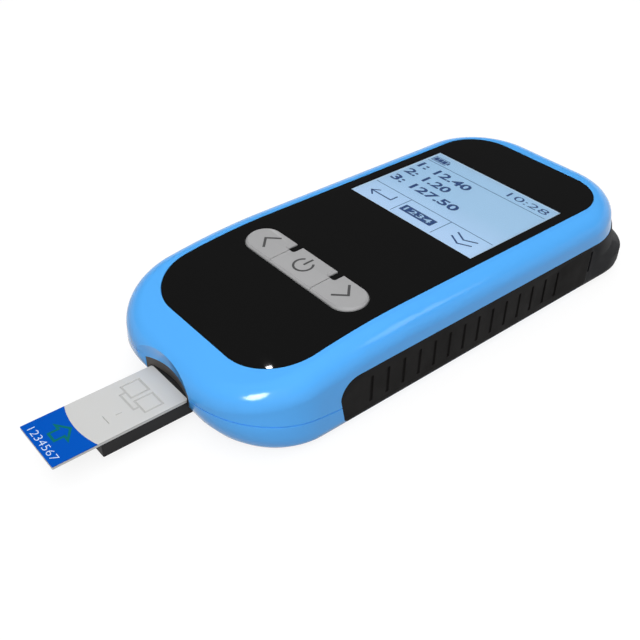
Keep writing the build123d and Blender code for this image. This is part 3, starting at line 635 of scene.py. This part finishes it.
def display_picture():
    """A plain made-up reading: battery, clock, three rows of figures, rules and three soft keys."""
    low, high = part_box("display_window")
    corner = Vector((low.x / MM, low.y / MM))
    width, height = (high.x - low.x) / MM, (high.y - low.y) / MM
    faces = [block(RULE_START, share * height, width - RULE_INSET, share * height + RULE_WIDTH)
             for share in (TOP_RULE, LOW_RULE)]
    for share in DIVIDERS:
        x = share * width
        faces.append(block(x - RULE_WIDTH / 2, DIVIDER_FOOT * height, x + RULE_WIDTH / 2, LOW_RULE * height))
    faces += battery_sign(BATTERY_X, BATTERY_Y * height)
    faces += digits("10:28", CLOCK_X, CLOCK_Y * height, CLOCK_LENGTH, CLOCK_HEIGHT)
    for text, share, length in ROWS:
        faces += digits(text, ROW_START, share * height, length, ROW_HEIGHT, ROW_WEIGHT)
    faces += back_arrow(BACK_ARROW_X, BACK_ARROW_Y * height) + chevrons(CHEVRONS_X, CHEVRONS_Y * height)
    faces.append(block(SOFT_KEY_LEFT * width, SOFT_KEY_FOOT * height,
                       SOFT_KEY_RIGHT * width, SOFT_KEY_TOP * height))
    pale = digits("1234", SOFT_KEY_TEXT_LEFT * width, SOFT_KEY_TEXT_FOOT * height,
                  SOFT_KEY_TEXT_LENGTH * width, SOFT_KEY_TEXT_HEIGHT, weight=0.02)
    for name, marks, ink, lift in (("display_marks", faces, "display_ink", INK_LIFT),
                                   ("display_soft_key", pale, "display_pale", SECOND_INK_LIFT)):
        lay_print(name, moved(marks, corner), "lcd_panel", ink, lift, DISPLAY_STEP)


def key_symbols():
    """An arrow on each outer key and a power sign on the middle one."""
    foot, tip, rise = 1.8, 1.9, 3.6
    for key, side in (("left_key", -1), ("right_key", 1)):
        x, y = side * KEY_MIDDLE.x, KEY_MIDDLE.y
        points = [(x - side * foot, y + rise), (x + side * tip, y), (x - side * foot, y - rise)]
        lay_print(f"{key}_symbol", ribbon(points, SYMBOL_WIDTH), key, "key_print", INK_LIFT, KEY_STEP)
    x, y, reach, line = -0.6, KEY_MIDDLE.y - 0.3, 3.1, SYMBOL_WIDTH * 0.9
    bar_foot, bar_top = 0.1, 4.0
    gap, steps = math.radians(38), 40
    turns = [math.pi / 2 + gap + (2 * math.pi - 2 * gap) * k / steps for k in range(steps + 1)]
    ring = [(x + reach * math.cos(turn), y + reach * math.sin(turn)) for turn in turns]
    sign = ribbon(ring, line) + ribbon([(x, y + bar_foot), (x, y + bar_top)], line)
    lay_print("power_key_symbol", sign, "power_key", "key_print", INK_LIFT, KEY_STEP)


def card_prints():
    """An outlined arrow that shows which way the card goes in, and a plain count under it."""
    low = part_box("card_label")[0]
    left, foot = low.x / MM, low.y / MM
    x, tip = -0.5, foot + 10.5
    shoulder, tail, wing, shaft, line = 2.7, 5.7, 3.7, 1.75, 0.8
    outline = [(x, tip), (x + wing, tip - shoulder), (x + shaft, tip - shoulder), (x + shaft, tip - tail),
               (x - shaft, tip - tail), (x - shaft, tip - shoulder), (x - wing, tip - shoulder)]
    arrow = ribbon(outline, line, closed=True)
    lay_print("card_arrow", arrow, "card_label", "arrow_print", FILM_INK_LIFT, FILM_STEP)
    count = digits("1234567", left + 2.4, foot + 0.9, length=15.0, height=2.3, weight=-0.03)
    lay_print("card_count", count, "card_label", "count_print", FILM_INK_LIFT, FILM_STEP)


# What repeats: built as a node tree

def row_tree(name, finish):
    """A node tree that sets small blocks in a row. Their count, pitch, size and start are inputs."""
    tree = bpy.data.node_groups.new(name, "GeometryNodeTree")
    tree.interface.new_socket("Geometry", in_out="OUTPUT", socket_type="NodeSocketGeometry")
    for label, kind in (("Count", "NodeSocketInt"), ("Pitch", "NodeSocketVector"),
                        ("Size", "NodeSocketVector"), ("Start", "NodeSocketVector")):
        tree.interface.new_socket(label, in_out="INPUT", socket_type=kind)
    given = tree.nodes.new("NodeGroupInput").outputs
    result = tree.nodes.new("NodeGroupOutput")
    line = tree.nodes.new("GeometryNodeMeshLine")
    cube = tree.nodes.new("GeometryNodeMeshCube")
    instance = tree.nodes.new("GeometryNodeInstanceOnPoints")
    real = tree.nodes.new("GeometryNodeRealizeInstances")
    paint = tree.nodes.new("GeometryNodeSetMaterial")
    paint.inputs["Material"].default_value = finishes[finish]
    for source, target in ((given["Count"], line.inputs["Count"]), (given["Pitch"], line.inputs["Offset"]),
                           (given["Start"], line.inputs["Start Location"]),
                           (given["Size"], cube.inputs["Size"]), (line.outputs[0], instance.inputs["Points"]),
                           (cube.outputs[0], instance.inputs["Instance"]),
                           (instance.outputs[0], real.inputs[0]), (real.outputs[0], paint.inputs["Geometry"]),
                           (paint.outputs[0], result.inputs[0])):
        tree.links.new(source, target)
    return tree


def row_of_blocks(name, carrier, finish, **values):
    """A row of blocks on a node, from the node tree, as a plain mesh."""
    tree = row_tree(name, finish)
    maker = bpy.data.objects.new(f"{name}_maker", bpy.data.meshes.new(f"{name}_maker"))
    modifier = maker.modifiers.new("row", "NODES")
    modifier.node_group = tree
    for item in tree.interface.items_tree:
        if item.in_out == "INPUT":
            modifier[item.identifier] = values[item.name.lower()]
    settle(name, finished_mesh(maker), body_of[carrier], slot_of[carrier], finish)


def socket_pads():
    """Contact pads in the data socket."""
    low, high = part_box("data_socket")
    middle = (low + high) / 2
    pads, pitch, from_mouth, over_middle = 9, 0.5 * MM, 2.4 * MM, 0.42 * MM
    start = (middle.x - (pads - 1) / 2 * pitch, high.y - from_mouth, middle.z + over_middle)
    row_of_blocks("socket_pads", "data_socket", "gold_plate", count=pads, pitch=(pitch, 0.0, 0.0),
                  start=start, size=(0.28 * MM, 3.0 * MM, 0.05 * MM))


# Floor, world, lamps and camera

def white_floor():
    """A floor that shows white to the camera and in reflections, and still takes the object's shadow."""
    form = bmesh.new()
    corners = ((-FLOOR_REACH, -FLOOR_REACH), (FLOOR_REACH, -FLOOR_REACH),
               (FLOOR_REACH, FLOOR_REACH), (-FLOOR_REACH, FLOOR_REACH))
    form.faces.new([form.verts.new((x, y, 0.0)) for x, y in corners])
    mesh = bpy.data.meshes.new("floor")
    form.to_mesh(mesh)
    form.free()
    material, tree, shader = start_material("floor_white")
    shader.inputs["Base Color"].default_value = FLOOR_GREY
    shader.inputs["Roughness"].default_value = 0.9
    shader.inputs["Specular IOR Level"].default_value = 0.0
    shader.inputs["Emission Color"].default_value = WHITE
    white = maths(tree, "MULTIPLY", seen_directly(tree), FLOOR_WHITE)
    tree.links.new(white, shader.inputs["Emission Strength"])
    mesh.materials.append(material)
    floor = bpy.data.objects.new("floor", mesh)
    bpy.context.scene.collection.objects.link(floor)


def white_walls():
    """White walls under a dark ceiling, where they are seen or mirrored, and a dim even light elsewhere."""
    world = bpy.data.worlds.new("studio")
    bpy.context.scene.world = world
    world.use_nodes = True
    tree = world.node_tree
    background = next(node for node in tree.nodes if node.type == "BACKGROUND")
    background.inputs["Color"].default_value = WHITE
    view = tree.nodes.new("ShaderNodeTexCoord").outputs["Generated"]
    rise = add(tree, "ShaderNodeSeparateXYZ", Vector=view).outputs[2]
    wall = maths(tree, "MULTIPLY", seen_directly(tree), spread(tree, rise, 1.0, 0.0, WALL_TOP, CEILING_EDGE))
    tree.links.new(spread(tree, wall, WORLD_LIGHT, 1.0), background.inputs["Strength"])


def softbox(name, place, aim, size, power, mirror=None, shape="RECTANGLE"):
    """An area lamp that lights all surfaces and mirrors in none, or that only mirrors in one piece."""
    light = bpy.data.lights.new(name, "AREA")
    light.shape = shape
    light.size, light.size_y = size
    light.energy = power
    lamp = bpy.data.objects.new(name, light)
    lamp.location = place
    lamp.rotation_mode = "QUATERNION"
    lamp.rotation_quaternion = (Vector(aim) - Vector(place)).to_track_quat("-Z", "Y")
    lamp.visible_camera = False
    lamp.visible_transmission = False
    lamp.visible_glossy = mirror is not None
    lamp.visible_diffuse = mirror is None
    bpy.context.scene.collection.objects.link(lamp)
    if mirror:
        shiny = bpy.data.collections.new(f"{name}_pieces")
        shiny.objects.link(bpy.data.objects[mirror])
        lamp.light_linking.receiver_collection = shiny


def studio():
    """A large lamp overhead, two fills, and the lamps that only mirror in the gloss."""
    for name, (place, side, power) in LAMPS.items():
        softbox(name, place, MIDDLE, (side, side), power)
    for name, (mirror, spot, way, distance, size, power, shape) in GLINTS.items():
        softbox(name, spot + distance * way, spot, size, power, mirror, shape)
    bpy.context.scene.view_settings.view_transform = "Standard"


def camera():
    """The camera of the photograph."""
    back = Vector((math.sin(CAMERA_TURN) * math.cos(CAMERA_RISE),
                   -math.cos(CAMERA_TURN) * math.cos(CAMERA_RISE), math.sin(CAMERA_RISE)))
    right = Vector((math.cos(CAMERA_TURN), math.sin(CAMERA_TURN), 0.0))
    up = back.cross(right)
    across = math.cos(CAMERA_ROLL) * right + math.sin(CAMERA_ROLL) * up
    upright = math.cos(CAMERA_ROLL) * up - math.sin(CAMERA_ROLL) * right
    lens = bpy.data.cameras.new("camera")
    lens.lens = FOCAL_LENGTH
    lens.sensor_width = SENSOR_WIDTH
    lens.clip_start = 0.01
    lens.clip_end = 20.0
    view = bpy.data.objects.new("camera", lens)
    turn = Matrix((across, upright, back)).transposed().to_4x4()
    view.matrix_world = Matrix.Translation(EYE) @ turn
    bpy.context.scene.collection.objects.link(view)
    bpy.context.scene.camera = view


finishes = all_finishes()
camera()
dress_nodes()
window_pane()
display_picture()
key_symbols()
card_prints()
socket_pads()
white_floor()
white_walls()
studio()
